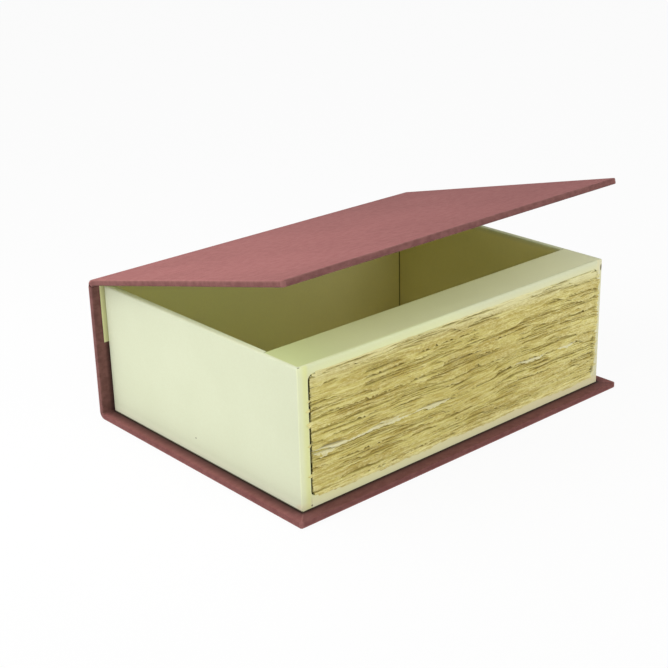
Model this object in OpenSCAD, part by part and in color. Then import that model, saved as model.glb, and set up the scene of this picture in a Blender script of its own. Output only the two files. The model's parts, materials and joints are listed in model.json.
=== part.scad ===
// Book-shaped box: a cloth-covered case round a paper-covered tray.
// X runs along the spine from tail to head, -Y is the fore-edge, +Y is the spine, +Z is up.
// The origin is on the underside of the base, below the middle of the tray.
// The box is drawn as it rests: spine upright, lid standing a little open.

/* [Tray] */
// Length of the tray along the spine, over its paper
tray_len = 223; // [160:1:320]
// Depth of the tray from fore-edge to spine, over its paper
tray_dep = 163; // [110:1:240]
// Height of the tray over its paper
tray_h = 75; // [45:1:120]
// Thickness of the board of the tray's tail, head and spine walls
wall_t = 3; // [2:0.1:4]
// Thickness of the board of the tray's floor
floor_t = 2.5; // [1.5:0.1:4]
// Thickness of the covering and lining paper
paper_t = 0.4; // [0.2:0.05:0.6]
// Radius of the tray's upright corners, over the paper
corner_r = 1.6; // [1:0.1:2.4]
// How far the covering paper turns down inside the walls
turn_down = 17; // [5:0.5:25]

/* [Leaf housing] */
// Width of the ledge, from the fore-edge to the compartment
ledge_dep = 27; // [18:0.5:45]
// Thickness of the board between compartment and housing
inner_wall_t = 3; // [2:0.1:4]
// Thickness of the board over the leaves
ledge_t = 3; // [2:0.1:4]
// Thickness of the windowed board
frame_t = 3; // [1.5:0.1:4]
// Height of the rail above the window
rail_top = 5; // [4.5:0.1:12]
// Height of the rail below the window
rail_bottom = 5.7; // [4.5:0.1:12]
// Width of the window's border at the tail
stile_tail = 6.2; // [4:0.1:14]
// Width of the window's border at the head
stile_head = 3.5; // [3:0.1:14]
// Radius of the window's corners
window_r = 3; // [0.5:0.1:4]

/* [Leaves] */
// Number of deckle-edged leaves
leaf_count = 72; // [40:1:90]
// Which leaf, counted from the bottom, is the white one
white_index = 27; // [2:1:38]
// Air between one leaf and the next
leaf_air = 0.15; // [0.05:0.05:0.3]
// Gap between the leaves and the window's tail side
leaf_gap = 1.2; // [0.3:0.1:2]
// Gap between the leaves and the window's head side
leaf_clear = 0.5; // [0.3:0.1:1.5]
// How far the leaves stand back from the face of the fore-edge
leaf_back = 0.2; // [0:0.1:1]
// How deep the deckle wanders
deckle = 1.8; // [0.2:0.1:2.5]
// Points along each deckled edge
deckle_points = 26; // [8:1:40]
// Depth of the glued back of the leaf blocks
glue_dep = 4; // [2:0.5:8]

/* [Case] */
// Thickness of the case boards
board_t = 2.5; // [1.5:0.1:3.5]
// Thickness of the bookcloth
cloth_t = 0.4; // [0.2:0.05:0.6]
// How far the case stands past the tray at tail and head
end_square = 7.5; // [4:0.5:15]
// How far the base stands past the tray at the fore-edge
base_square = 8; // [3:0.5:15]
// How far the closed lid stands past the tray at the fore-edge
lid_square = 6; // [3:0.5:15]
// Radius of the case's fore corners in plan
case_corner_r = 2; // [1:0.1:4]
// Width of the cloth turned in over the boards
turn_in = 15; // [8:0.5:20]
// Outer radius of the cloth joints
joint_r = 4; // [3.6:0.1:6]
// Distance of each hinge axis from the two outer faces it lies between
hinge_inset = 1; // [0.5:0.1:2]
// Red margin left round the lid's lining and beside the hinge strip
lining_margin = 5; // [2:0.5:7.5]
// How far the hinge strip runs down the inside of the spine
strip_drop = 33; // [10:1:34]
// Red margin left beside the narrower lining lower on the spine
liner_margin = 11; // [8:0.5:14]

/* [Clearances] */
// Gap between the closed lid's lining and the tray's rim
lid_gap = 0.3; // [0.2:0.1:1]
// Gap between the tray and the hinge strip on the spine
spine_gap = 0.3; // [0.2:0.1:1]

/* [Opening] */
// Angle at which the lid stands open
lid_open = 13.9; // [0:0.1:60]

/* [Hidden] */

$fn = 48;
// A cut runs this far past the faces that it opens
past = 1;
// Straight pieces that a curved joint is drawn with
joint_steps = 14;

cloth_red = [0.60, 0.36, 0.35];
cream = [0.87, 0.88, 0.73];
board_grey = [0.58, 0.54, 0.48];
leaf_straw = [0.80, 0.72, 0.48];
leaf_white = [0.92, 0.89, 0.76];

// Outer faces of the tray, and the levels it is built on
half_len = tray_len / 2;
back_y = tray_dep / 2;
front_y = -back_y;
case_t = board_t + 2 * cloth_t;
rim_z = case_t + tray_h;
board_top = rim_z - paper_t;
floor_top = case_t + floor_t;
lined_floor = floor_top + paper_t;

// Inner faces of the tray's boards, then of their lining
board_x = half_len - paper_t - wall_t;
board_y = back_y - paper_t - wall_t;
lined_x = board_x - paper_t;
lined_y = board_y - paper_t;

// The leaf housing
frame_back = front_y + paper_t + frame_t;
ledge_back = front_y + ledge_dep;
inner_wall_back = ledge_back - paper_t;
inner_wall_front = inner_wall_back - inner_wall_t;
ledge_low = board_top - ledge_t;

// The window in the fore-edge
window_x0 = -half_len + stile_tail;
window_x1 = half_len - stile_head;
window_z0 = case_t + rail_bottom;
window_z1 = rim_z - rail_top;

// The leaves fill the housing from its floor to its ledge
leaf_x0 = max(window_x0, -board_x) + leaf_gap;
leaf_x1 = min(window_x1, board_x) - leaf_clear;
leaf_pitch = (ledge_low - floor_top) / leaf_count;
leaf_t = leaf_pitch - leaf_air;
leaf_front = front_y + leaf_back;

// The case
cover_half = half_len + end_square;
base_front = front_y - base_square;
lid_front = front_y - lid_square;
spine_face = back_y + spine_gap;
spine_in = spine_face + paper_t;
outer_y = spine_in + case_t;
lid_face = rim_z + lid_gap;
top_z = lid_face + paper_t + case_t;
joint_y = outer_y - joint_r;
spine_low = joint_r;
spine_high = top_z - joint_r;
strip_low = spine_high - strip_drop;

// The lid's hinge axis
hinge_y = outer_y - hinge_inset;
hinge_z = top_z - hinge_inset;

// A block given by its two opposite corners
module block(low, high) {
    translate(low) cube(high - low);
}

// Plan of the tray, drawn in from its outer faces by inset
module tray_plan(inset) {
    r = corner_r - inset;
    x = half_len - inset;
    y = back_y - inset;
    square([2 * (x - r), 2 * y], center = true);
    square([2 * x, 2 * (y - r)], center = true);
    for (sx = [-1, 1], sy = [-1, 1])
        translate([sx * (x - r), sy * (y - r)]) circle(r);
}

// Board outline cut to the plan of the tray between two corners
module tray_board(low, high) {
    intersection() {
        translate([0, 0, case_t]) linear_extrude(tray_h - paper_t) tray_plan(paper_t);
        block(low, high);
    }
}

// Window outline in the X-Z plane, pushed through from y0 to y1
module window_cut(y0, y1) {
    r = window_r;
    translate([0, y1, 0]) rotate([90, 0, 0]) linear_extrude(y1 - y0) {
        translate([window_x0 + r, window_z0])
            square([window_x1 - window_x0 - 2 * r, window_z1 - window_z0]);
        translate([window_x0, window_z0 + r])
            square([window_x1 - window_x0, window_z1 - window_z0 - 2 * r]);
        for (x = [window_x0 + r, window_x1 - r], z = [window_z0 + r, window_z1 - r])
            translate([x, z]) circle(r);
    }
}

// Plan of a cover from its fore edge to y1, drawn in by inset, fore corners rounded
module cover_plan(front, inset, y1) {
    x = cover_half - inset;
    y0 = front + inset;
    r = max(case_corner_r - inset, 0.3);
    translate([-x, y0 + r]) square([2 * x, y1 - y0 - r]);
    translate([-x + r, y0]) square([2 * (x - r), r]);
    for (sx = [-1, 1])
        translate([sx * (x - r), y0 + r]) circle(r);
}

// Board of a cover whose outer face lies on z = 0
module cover_board(front) {
    translate([0, 0, cloth_t]) linear_extrude(board_t) cover_plan(front, cloth_t, joint_y);
}

// Cloth of a cover whose outer face lies on z = 0: face, edges and turn-ins
module cover_cloth(front) {
    difference() {
        linear_extrude(case_t) cover_plan(front, 0, joint_y);
        translate([0, 0, cloth_t])
            linear_extrude(board_t) cover_plan(front, cloth_t, joint_y + past);
        translate([0, 0, cloth_t])
            linear_extrude(case_t) cover_plan(front, turn_in, joint_y + past);
    }
}

// Turns what is drawn for the closed lid to the angle at which the lid stands
module lid_pose() {
    translate([0, hinge_y, hinge_z]) rotate([-lid_open, 0, 0])
        translate([0, -hinge_y, -hinge_z]) children();
}

// Turns what is drawn for the base into the closed lid's place
module as_lid() {
    lid_pose() translate([0, 0, top_z]) mirror([0, 0, 1]) children();
}

// Y-Z outline pushed along X to half on both sides
module along_spine(half) {
    rotate([90, 0, 90]) linear_extrude(2 * half, center = true) children();
}

module base_board() {
    color(board_grey) cover_board(base_front);
}

module base_cloth() {
    color(cloth_red) cover_cloth(base_front);
}

module tray_floor() {
    color(board_grey) block([-board_x, frame_back, case_t], [board_x, board_y, floor_top]);
}

module tail_wall() {
    color(board_grey) tray_board([-half_len, frame_back, case_t], [-board_x, back_y, board_top]);
}

module head_wall() {
    color(board_grey) tray_board([board_x, frame_back, case_t], [half_len, back_y, board_top]);
}

module spine_wall() {
    color(board_grey) block([-board_x, board_y, case_t], [board_x, board_y + wall_t, board_top]);
}

module inner_wall() {
    color(board_grey)
        block([-board_x, inner_wall_front, floor_top], [board_x, inner_wall_back, ledge_low]);
}

module ledge_board() {
    color(board_grey)
        block([-board_x, frame_back, ledge_low], [board_x, inner_wall_back, board_top]);
}

module fore_edge_frame() {
    color(board_grey) difference() {
        tray_board([-half_len, front_y, case_t], [half_len, frame_back, board_top]);
        window_cut(front_y - past, frame_back + past);
    }
}

// Height of the underside of leaf k
function leaf_z(k) = floor_top + k * leaf_pitch;

// How near leaf k comes to the top or bottom of the window, negative behind a rail
function leaf_room(k) = min(leaf_z(k) - window_z0, window_z1 - leaf_z(k) - leaf_t);

// How far the window's rounded corners reach in over leaf k
function corner_reach(k) =
    leaf_room(k) >= window_r || leaf_room(k) < 0
        ? 0
        : window_r - sqrt(pow(window_r, 2) - pow(window_r - leaf_room(k), 2));

// Front edge of leaf k: a wandering deckle in the window, straight behind a rail
function leaf_edge(k, x0, x1) =
    let (wander = rands(0, 1, deckle_points + 1, k + 1))
    [for (i = [0 : deckle_points])
        [x0 + (x1 - x0) * i / deckle_points,
         leaf_room(k) < 0 ? frame_back : leaf_front + deckle * pow(wander[i], 2)]];

// One leaf, from its deckled front to the inner wall
module leaf(k) {
    x0 = leaf_x0 + corner_reach(k);
    x1 = leaf_x1 - corner_reach(k);
    translate([0, 0, leaf_z(k)]) linear_extrude(leaf_t)
        polygon(concat(leaf_edge(k, x0, x1), [[x1, inner_wall_front], [x0, inner_wall_front]]));
}

// Leaves first to last, held together at the back by their glue
module leaf_block(first, last) {
    for (k = [first : last]) leaf(k);
    inset = max([for (k = [first : last]) corner_reach(k)]);
    block([leaf_x0 + inset, inner_wall_front - glue_dep, leaf_z(first)],
          [leaf_x1 - inset, inner_wall_front, leaf_z(last) + leaf_t]);
}

module lower_leaves() {
    color(leaf_straw) leaf_block(0, white_index - 1);
}

module white_leaf() {
    color(leaf_white) leaf(white_index);
}

module upper_leaves() {
    color(leaf_straw) leaf_block(white_index + 1, leaf_count - 1);
}

// Paper round the tail, spine and head walls, over their tops and down inside
module tray_wrap() {
    color(cream) {
        difference() {
            translate([0, 0, case_t]) linear_extrude(tray_h) difference() {
                tray_plan(0);
                tray_plan(paper_t);
            }
            block([-half_len + corner_r, front_y - past, case_t - past],
                  [half_len - corner_r, 0, rim_z + past]);
        }
        translate([0, 0, board_top]) linear_extrude(paper_t) difference() {
            tray_plan(paper_t);
            translate([-lined_x, ledge_back]) square([2 * lined_x, lined_y - ledge_back]);
            translate([-board_x, front_y - past]) square([2 * board_x, ledge_dep + past]);
        }
        for (side = [0, 1]) mirror([side, 0, 0])
            block([lined_x, ledge_back, rim_z - turn_down], [board_x, board_y, rim_z]);
        block([-board_x, lined_y, rim_z - turn_down], [board_x, board_y, rim_z]);
    }
}

module frame_paper() {
    color(cream) difference() {
        block([-half_len + corner_r, front_y, case_t],
              [half_len - corner_r, front_y + paper_t, rim_z]);
        window_cut(front_y - past, frame_back);
    }
}

// Paper over the ledge and down the compartment's side of the inner wall
module ledge_paper() {
    color(cream) {
        block([-board_x, front_y + paper_t, board_top], [board_x, ledge_back, rim_z]);
        block([-board_x, inner_wall_back, lined_floor], [board_x, ledge_back, rim_z]);
    }
}

module floor_lining() {
    color(cream) block([-board_x, inner_wall_back, floor_top], [board_x, board_y, lined_floor]);
}

module tail_lining() {
    color(cream)
        block([-board_x, ledge_back, lined_floor], [-lined_x, lined_y, rim_z - turn_down]);
}

module head_lining() {
    color(cream)
        block([lined_x, ledge_back, lined_floor], [board_x, lined_y, rim_z - turn_down]);
}

module spine_wall_lining() {
    color(cream)
        block([-board_x, lined_y, lined_floor], [board_x, board_y, rim_z - turn_down]);
}

module spine_board() {
    x = cover_half - cloth_t;
    color(board_grey)
        block([-x, spine_in + cloth_t, spine_low], [x, outer_y - cloth_t, spine_high]);
}

// Cloth of the spine: face, ends and turn-ins
module spine_cloth() {
    color(cloth_red) difference() {
        block([-cover_half, spine_in, spine_low], [cover_half, outer_y, spine_high]);
        block([-cover_half + cloth_t, spine_in + cloth_t, spine_low - past],
              [cover_half - cloth_t, outer_y - cloth_t, spine_high + past]);
        block([-cover_half + turn_in, spine_in - past, spine_low - past],
              [cover_half - turn_in, spine_in + past, spine_high + past]);
    }
}

module spine_liner() {
    x = cover_half - liner_margin;
    color(cream) block([-x, spine_face, spine_low], [x, spine_in, strip_low]);
}

module hinge_strip() {
    x = cover_half - lining_margin;
    color(cream) block([-x, spine_face, strip_low], [x, spine_in, spine_high]);
}

module lid_board() {
    color(board_grey) as_lid() cover_board(lid_front);
}

module lid_cloth() {
    color(cloth_red) as_lid() cover_cloth(lid_front);
}

module lid_lining() {
    x = cover_half - lining_margin;
    color(cream) lid_pose()
        block([-x, lid_front + lining_margin, lid_face], [x, joint_y, lid_face + paper_t]);
}

// Cloth that turns the corner between base and spine
module lower_joint_cloth() {
    color(cloth_red) along_spine(cover_half) translate([joint_y, joint_r]) intersection() {
        difference() {
            circle(joint_r);
            circle(joint_r - cloth_t);
        }
        translate([0, -joint_r]) square(joint_r);
    }
}

// A point given for the closed lid, as [y, z], turned to where the lid stands
function lid_point(p) =
    [hinge_y + (p[0] - hinge_y) * cos(lid_open) + (p[1] - hinge_z) * sin(lid_open),
     hinge_z - (p[0] - hinge_y) * sin(lid_open) + (p[1] - hinge_z) * cos(lid_open)];

// The upper joint runs up from the spine's cloth and over into the lid's
joint_start = [outer_y - cloth_t / 2, spine_high];
joint_end = lid_point([joint_y, top_z - cloth_t / 2]);
joint_turn = 90 - lid_open;
joint_reach = 4 / 3 * tan(joint_turn / 4) * norm(joint_end - joint_start)
    / (2 * sin(joint_turn / 2));
up = [0, 1];
to_lid = [-cos(lid_open), sin(lid_open)];

// Point and normal on the middle of that joint, from t = 0 at the spine to t = 1 at the lid
function joint_mid(t) =
    pow(1 - t, 3) * joint_start
    + 3 * pow(1 - t, 2) * t * (joint_start + joint_reach * up)
    + 3 * (1 - t) * pow(t, 2) * (joint_end - joint_reach * to_lid)
    + pow(t, 3) * joint_end;
function joint_out(t) = let (a = 90 + joint_turn * t) [sin(a), -cos(a)];
function joint_side(off) =
    [for (i = [0 : joint_steps])
        joint_mid(i / joint_steps) + off * joint_out(i / joint_steps)];
function reversed(list) = [for (i = [len(list) - 1 : -1 : 0]) list[i]];

// Cloth that turns the corner between spine and lid
module upper_joint_cloth() {
    color(cloth_red) along_spine(cover_half)
        polygon(concat(joint_side(cloth_t / 2), reversed(joint_side(-cloth_t / 2))));
}

// Cream strip across the joint: over the spine board's edge, inside the cloth, to the lid
module inner_joint_paper() {
    x = cover_half - lining_margin;
    inner = -cloth_t / 2;
    color(cream) {
        along_spine(x)
            polygon(concat(joint_side(inner), reversed(joint_side(inner - paper_t))));
        block([-x, spine_face, spine_high],
              [x, outer_y - cloth_t - paper_t / 2, spine_high + paper_t]);
        lid_pose()
            block([-x, joint_y, lid_face], [x, joint_y + paper_t, top_z - cloth_t - paper_t / 2]);
    }
}

base_board();
base_cloth();
tray_floor();
tail_wall();
head_wall();
spine_wall();
inner_wall();
ledge_board();
fore_edge_frame();
lower_leaves();
white_leaf();
upper_leaves();
tray_wrap();
frame_paper();
ledge_paper();
floor_lining();
tail_lining();
head_lining();
spine_wall_lining();
spine_board();
spine_cloth();
spine_liner();
hinge_strip();
lid_board();
lid_cloth();
lid_lining();
lower_joint_cloth();
upper_joint_cloth();
inner_joint_paper();
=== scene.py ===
# %% [markdown]
# # A book-shaped box
# A cloth case, made like the cover of a hardback, is glued round a paper-covered tray. The fore-edge of
# the tray is a window, and behind it stands a block of hand-made, deckle-edged leaves. This lesson dresses
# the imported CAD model: every soft or worn surface is worked out with numpy, and every finish is made of
# shader nodes. All shapes are in millimetres until a mesh is made.

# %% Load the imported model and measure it
import json

import bmesh
import bpy
import numpy as np
from mathutils import Matrix


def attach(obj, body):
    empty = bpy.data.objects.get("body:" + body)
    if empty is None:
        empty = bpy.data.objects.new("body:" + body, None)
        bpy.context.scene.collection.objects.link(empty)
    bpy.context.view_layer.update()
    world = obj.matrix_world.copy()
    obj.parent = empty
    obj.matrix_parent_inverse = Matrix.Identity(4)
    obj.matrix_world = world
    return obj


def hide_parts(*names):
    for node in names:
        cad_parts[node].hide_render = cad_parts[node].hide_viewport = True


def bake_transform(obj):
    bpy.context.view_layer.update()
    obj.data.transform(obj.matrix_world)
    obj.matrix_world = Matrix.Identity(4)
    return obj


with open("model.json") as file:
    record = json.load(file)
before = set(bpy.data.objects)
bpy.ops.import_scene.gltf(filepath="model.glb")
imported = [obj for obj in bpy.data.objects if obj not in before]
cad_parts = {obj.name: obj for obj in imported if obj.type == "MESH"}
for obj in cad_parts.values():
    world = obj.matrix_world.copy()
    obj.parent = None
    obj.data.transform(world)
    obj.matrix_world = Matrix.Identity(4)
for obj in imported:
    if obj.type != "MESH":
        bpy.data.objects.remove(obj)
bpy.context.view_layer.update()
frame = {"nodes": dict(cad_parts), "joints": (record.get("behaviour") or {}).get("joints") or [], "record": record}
joints = {joint["name"]: joint for joint in frame["joints"]}


# %% [markdown]
# The scene takes its sizes from the CAD nodes. The lid rests a little open, so its sizes are read after
# turning its points back about its hinge, to where they lie on the closed box.

# %% Sizes of the nodes in millimetres
MM = 1000.0
hinge_y, hinge_z = [MM * value for value in joints["lid_hinge"]["pos_m"][1:]]
lid_angle = np.radians(-joints["lid_hinge"]["range_deg"][0])


def stacked(*parts):
    """One array whose last axis holds the parts, each stretched to the shape that they share."""
    return np.stack(np.broadcast_arrays(*parts), -1)


def turned(points, angle):
    """Points turned about the lid's hinge, which runs along X: a positive angle opens the lid."""
    x, y, z = np.moveaxis(np.asarray(points, float), -1, 0)
    y, z = y - hinge_y, z - hinge_z
    c, s = np.cos(angle), np.sin(angle)
    return stacked(x, hinge_y + y * c + z * s, hinge_z - y * s + z * c)


def node_points(name):
    """The points of a CAD node."""
    mesh = frame["nodes"][name].data
    points = np.empty(3 * len(mesh.vertices))
    mesh.vertices.foreach_get("co", points)
    return MM * points.reshape(-1, 3)


def node_box(name, angle=0.0):
    """Lowest and highest corner of a CAD node, after turning it back by the angle."""
    points = turned(node_points(name), -angle)
    return points.min(0), points.max(0)


base_low, base_high = node_box("base_cloth")
spine_low, spine_high = node_box("spine_cloth")
lid_low, lid_high = node_box("lid_cloth", lid_angle)
tray_low, tray_high = node_box("tray_wrap")
half_case = base_high[0]
case_thick = base_high[2]
joint_y = base_high[1]
half_tray = tray_high[0]
rim_z = tray_high[2]
print("case", half_case, case_thick, "tray", tray_low, tray_high, "closed lid", lid_low, lid_high)


# %% [markdown]
# ## Camera
# The photograph was taken from the tail's fore-edge corner, a little above the lid. The numbers come from
# fitting a camera to the straight edges of the box: a long lens, turned 41 degrees round the box, raised
# 22 degrees and rolled by a degree and a half.

# %% Camera
AZIMUTH, ELEVATION, ROLL = np.radians([-41.037, 21.706, -1.428])
DISTANCE = 0.78247
TARGET = np.array([-0.009095, 0.009810, 0.041087])
LENS = 75.10


def put(name, data):
    """An object with this data, in the scene."""
    thing = bpy.data.objects.new(name, data)
    bpy.context.scene.collection.objects.link(thing)
    return thing


def looking(place, away, roll=0.0):
    """The matrix of a camera or lamp at a place, with its back to the given way, rolled by an angle."""
    side = np.cross([0.0, 0.0, 1.0], away)
    side /= np.linalg.norm(side)
    upright = np.cross(away, side)
    rows = np.eye(4)
    rows[:3, 0] = np.cos(roll) * side + np.sin(roll) * upright
    rows[:3, 1] = np.cos(roll) * upright - np.sin(roll) * side
    rows[:3, 2], rows[:3, 3] = away, place
    return Matrix(rows.tolist())


back = np.array([
    np.sin(AZIMUTH) * np.cos(ELEVATION), -np.cos(AZIMUTH) * np.cos(ELEVATION), np.sin(ELEVATION)
])
camera = put("camera", bpy.data.cameras.new("camera"))
camera.matrix_world = looking(TARGET + DISTANCE * back, back, ROLL)
camera.data.lens = LENS
camera.data.clip_start, camera.data.clip_end = 0.01, 50.0
bpy.context.scene.camera = camera
bpy.context.scene.view_settings.view_transform = "Standard"
print("camera at", TARGET + DISTANCE * back)


# %% [markdown]
# ## Shader arithmetic
# A finish is easier to read as sums than as a web of nodes. One small class wraps a socket, and each
# operator on it adds a Math node. Every other kind of node comes from its one method.

# %% A socket that takes part in sums
def operator(operation, reflected=False):
    """A method that adds a Math node, with the other value second, or first where it is reflected."""
    def method(self, other):
        return self.math(operation, *((other, self) if reflected else (self, other)))

    return method


class Wire:
    """A socket in a node tree. Arithmetic on wires and numbers adds Math nodes."""

    def __init__(self, tree, socket=None):
        self.tree, self.socket = tree, socket

    def node(self, kind, settings, inputs, output=0):
        """Adds a node, sets its settings, fills or links its inputs and gives one output."""
        made = self.tree.nodes.new(kind)
        for name, value in settings.items():
            setattr(made, name, value)
        for name, value in inputs.items():
            if isinstance(value, Wire):
                self.tree.links.new(value.socket, made.inputs[name])
            else:
                made.inputs[name].default_value = value
        return Wire(self.tree, made.outputs[output])

    def math(self, operation, *values):
        return self.node("ShaderNodeMath", {"operation": operation}, dict(enumerate(values)))

    __add__ = __radd__ = operator("ADD")
    __mul__ = __rmul__ = operator("MULTIPLY")
    __sub__, __rsub__ = operator("SUBTRACT"), operator("SUBTRACT", reflected=True)
    __truediv__, __rtruediv__ = operator("DIVIDE"), operator("DIVIDE", reflected=True)
    at_least, at_most = operator("MAXIMUM"), operator("MINIMUM")

    def __abs__(self):
        return self.math("ABSOLUTE", self)

    def clamped(self, low, high):
        """0 below low, 1 above high and eased in between."""
        return self.node(
            "ShaderNodeMapRange", {"interpolation_type": "SMOOTHSTEP"},
            {"Value": self, "From Min": low, "From Max": high},
        )

    def attribute(self, name):
        """A value that the mesh carries. It is 0 on a mesh that doesn't carry it."""
        return self.node("ShaderNodeAttribute", {"attribute_name": name}, {}, output="Fac")

    def mixed(self, factor, first, second):
        """Two colours mixed by a factor."""
        inputs = {0: factor}
        for socket, colour in ((6, first), (7, second)):
            inputs[socket] = colour if isinstance(colour, Wire) else (*colour, 1.0)
        return self.node("ShaderNodeMix", {"data_type": "RGBA"}, inputs, output=2)

    def tinted(self, *layers):
        """This colour with others mixed in, one after another. A layer is an amount and a colour."""
        colour = self
        for amount, other in layers:
            colour = colour.mixed(amount, colour, other)
        return colour

    def parts(self, axes="XYZ"):
        """The parts of this vector, one wire for each axis."""
        return [self.node("ShaderNodeSeparateXYZ", {}, {0: self}, output=axis) for axis in axes]

    def position(self):
        """The place on the object, in millimetres."""
        return self.node("ShaderNodeTexCoord", {}, {}, output="Object").stretched((MM, MM, MM))

    def seen(self):
        """1 for what the camera sees, also in a mirror or through glass, and 0 for light on a surface."""
        camera_ray, glossy, through = [
            self.node("ShaderNodeLightPath", {}, {}, output=f"Is {ray} Ray")
            for ray in ("Camera", "Glossy", "Transmission")
        ]
        return camera_ray.at_least(glossy).at_least(through)

    def stretched(self, scale):
        """A vector with each of its parts scaled."""
        return self.node("ShaderNodeVectorMath", {"operation": "MULTIPLY"}, {0: self, 1: scale})

    def mark(self, centre, reach):
        """1 inside a soft-edged oval round a centre, 0 outside. The reach is its half size each way."""
        away = self.node("ShaderNodeVectorMath", {"operation": "SUBTRACT"}, {0: self, 1: centre})
        away = away.stretched([1 / size for size in reach])
        length = self.node("ShaderNodeVectorMath", {"operation": "LENGTH"}, {0: away}, output="Value")
        return 1 - length.clamped(0.5, 1.0)

    def noise(self, scale, detail=2.0, roughness=0.5):
        """Cloudy noise of this many clouds per unit of the vector, from 0 to 1."""
        return self.node(
            "ShaderNodeTexNoise", {},
            {"Vector": self, "Scale": scale, "Detail": detail, "Roughness": roughness},
        )


# %% A new finish, and a finished one
def new_finish(name, **constants):
    """A material, its first wire, and a place in millimetres on the object."""
    material = bpy.data.materials.new(name)
    material.use_nodes = True
    for socket, value in constants.items():
        material.node_tree.nodes["Principled BSDF"].inputs[socket.replace("_", " ")].default_value = value
    start = Wire(material.node_tree)
    return material, start, start.position()


def finished(material, colour, height, distance, strength=0.5):
    """The material with a colour, and with a height in units of the distance as its bump."""
    shader = material.node_tree.nodes["Principled BSDF"]
    bump = colour.node(
        "ShaderNodeBump", {}, {"Strength": strength, "Distance": distance / MM, "Height": height}
    )
    for wire, socket in ((colour, "Base Color"), (bump, "Normal")):
        material.node_tree.links.new(wire.socket, shader.inputs[socket])
    return material


# %% [markdown]
# ## Bookcloth
# Bookcloth is a plain weave of cotton, dyed and backed with paper. The threads are about 0.4 mm apart, so
# they are drawn on the cloth's own map, in millimetres, and turn the corners with it. Handling leaves the
# ridges lighter. The board's ends and the turned-in cloth carry painted shade, darker and duller than the outer
# faces.

# %% Bookcloth
THREAD_PITCH = 0.42


def make_bookcloth():
    """Woven cloth with painted shade on the board's ends and the turned-in cloth, lighter where it is worn, and
    painted shade where it lies in shadow.
    """
    material, start, place = new_finish(
        "red_bookcloth", Roughness=0.88, Specular_IOR_Level=0.15, Sheen_Weight=0.03, Sheen_Roughness=0.5
    )
    cloth = start.node("ShaderNodeUVMap", {"uv_map": "cloth"}, {})
    uneven = cloth.noise(0.09, 3.0) * 0.5
    warp, weft = [
        start.math("SINE", (along + uneven) * (2 * np.pi / THREAD_PITCH)) for along in cloth.parts("XY")
    ]
    clouds, patches = place.noise(0.022, 3.0), place.noise(0.09, 4.0, 0.6)
    mottle = cloth.stretched((0.7, 1.0, 1.0)).noise(0.30, 4.0, 0.6)
    flecks = place.noise(0.9, 4.0, 0.7).clamped(0.70, 0.80)
    scuffs = place.stretched((0.25, 1.0, 1.0)).noise(0.35, 4.0, 0.6).clamped(0.55, 0.78)
    colour = start.mixed(clouds.clamped(0.3, 0.7), (0.250, 0.085, 0.081), (0.281, 0.0975, 0.0935)).tinted(
        (patches.clamped(0.35, 0.75) * 0.35, (0.242, 0.082, 0.077)),
        # Painted shade on the board's ends and on the turned-in cloth.
        (start.attribute("painted_fold_shade"), (0.147, 0.066, 0.059)),
        (mottle.clamped(0.35, 0.65) * 0.22, (0.42, 0.19, 0.17)),
        (flecks * 0.3, (0.55, 0.36, 0.33)),
        (start.attribute("worn") * (scuffs * 0.5 + 0.4), (0.46, 0.22, 0.20)),
        (start.attribute("shade"), (0.014, 0.007, 0.003)),
    )
    return finished(material, colour, warp * weft * 0.4 + mottle + patches, 0.05)


# %% [markdown]
# ## Cream paper
# Everything but the cloth is covered with one cream paper. Light has faded it outside. Inside it is a strong
# yellow, lighter and warmer towards the head, and that yellow is partly painted shade: it stands in for the
# colour that shade and bounced light give the compartment. Each piece carries how much of the faded outside
# tone it has. The ledge also carries painted light and shade, lighter towards the head above 0 and darker and
# greener near the tail below 0. At the tray's foot the paper carries painted light, and one corner is browner
# with painted bounce light from the red cloth. On the fore-edge the bottom rail is warm with the same painted
# bounce light, the stile at the head is darker and warmer with painted shade, and the top rail and the stile
# at the tail are greener. Glue and handling have left a seam below the window and small dark marks. The line
# along the foot is painted shadow, and the nicks at two corners are painted shade. The linings stop just
# short of the corners of the compartment, where painted shade draws a dark line between them.

# %% Wear and tones of the paper, as layers of amount and colour
def painted_foot_light(fade_and_shade_tone, place):
    """Painted light at the foot of the tray, and one corner browner with painted bounce light from the red cloth.
    """
    (z,) = place.parts("Z")
    pale = place.mixed(fade_and_shade_tone, (0.93, 0.86, 0.38), (0.86, 0.89, 0.67))
    corner = place.mark((-half_tray + 1, tray_low[1], 4.0), (6, 6, 4))
    return [
        ((1 - z.clamped(4.0, 9.5)) * (fade_and_shade_tone * 1.4).at_most(0.9), pale),
        (corner * fade_and_shade_tone * 0.5, (0.78, 0.66, 0.42)),
    ]


def fore_edge_tones(place):
    """The bottom rail warmed with painted bounce light from the red cloth, the stile at the head darkened warm
    with painted shade, and the greener top rail and stile.
    """
    x, y, z = place.parts()
    x0, x1, y0 = -half_tray, half_tray, tray_low[1]
    at_front = 1 - y.clamped(y0 + 0.3, y0 + 1.2)
    rail = (1 - z.clamped(7.5, 9.5)).at_least(x.clamped(x1 - 5.0, x1 - 3.5) * 0.6)
    warm = place.mixed(x.clamped(-100.0, 100.0), (0.95, 0.92, 0.49), (0.86, 0.735, 0.41))
    stile = 1 - x.clamped(x0 + 4.5, x0 + 7.0)
    to_slit = place.mixed(x.clamped(x0 - 0.5, x0 + 5.5), (0.90, 0.94, 0.58), (0.80, 0.83, 0.28))
    return [
        # Painted bounce light on the bottom rail, and painted shade on the stile at the head.
        (at_front * rail * (x.clamped(-114.0, -88.0) * 0.5 + 0.05), warm),
        (place.mark((-55, y0, rim_z - 2.0), (75, 3, 6)) * 0.3, (0.86, 0.93, 0.45)),
        (at_front * stile * 0.5, to_slit),
    ]


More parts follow.
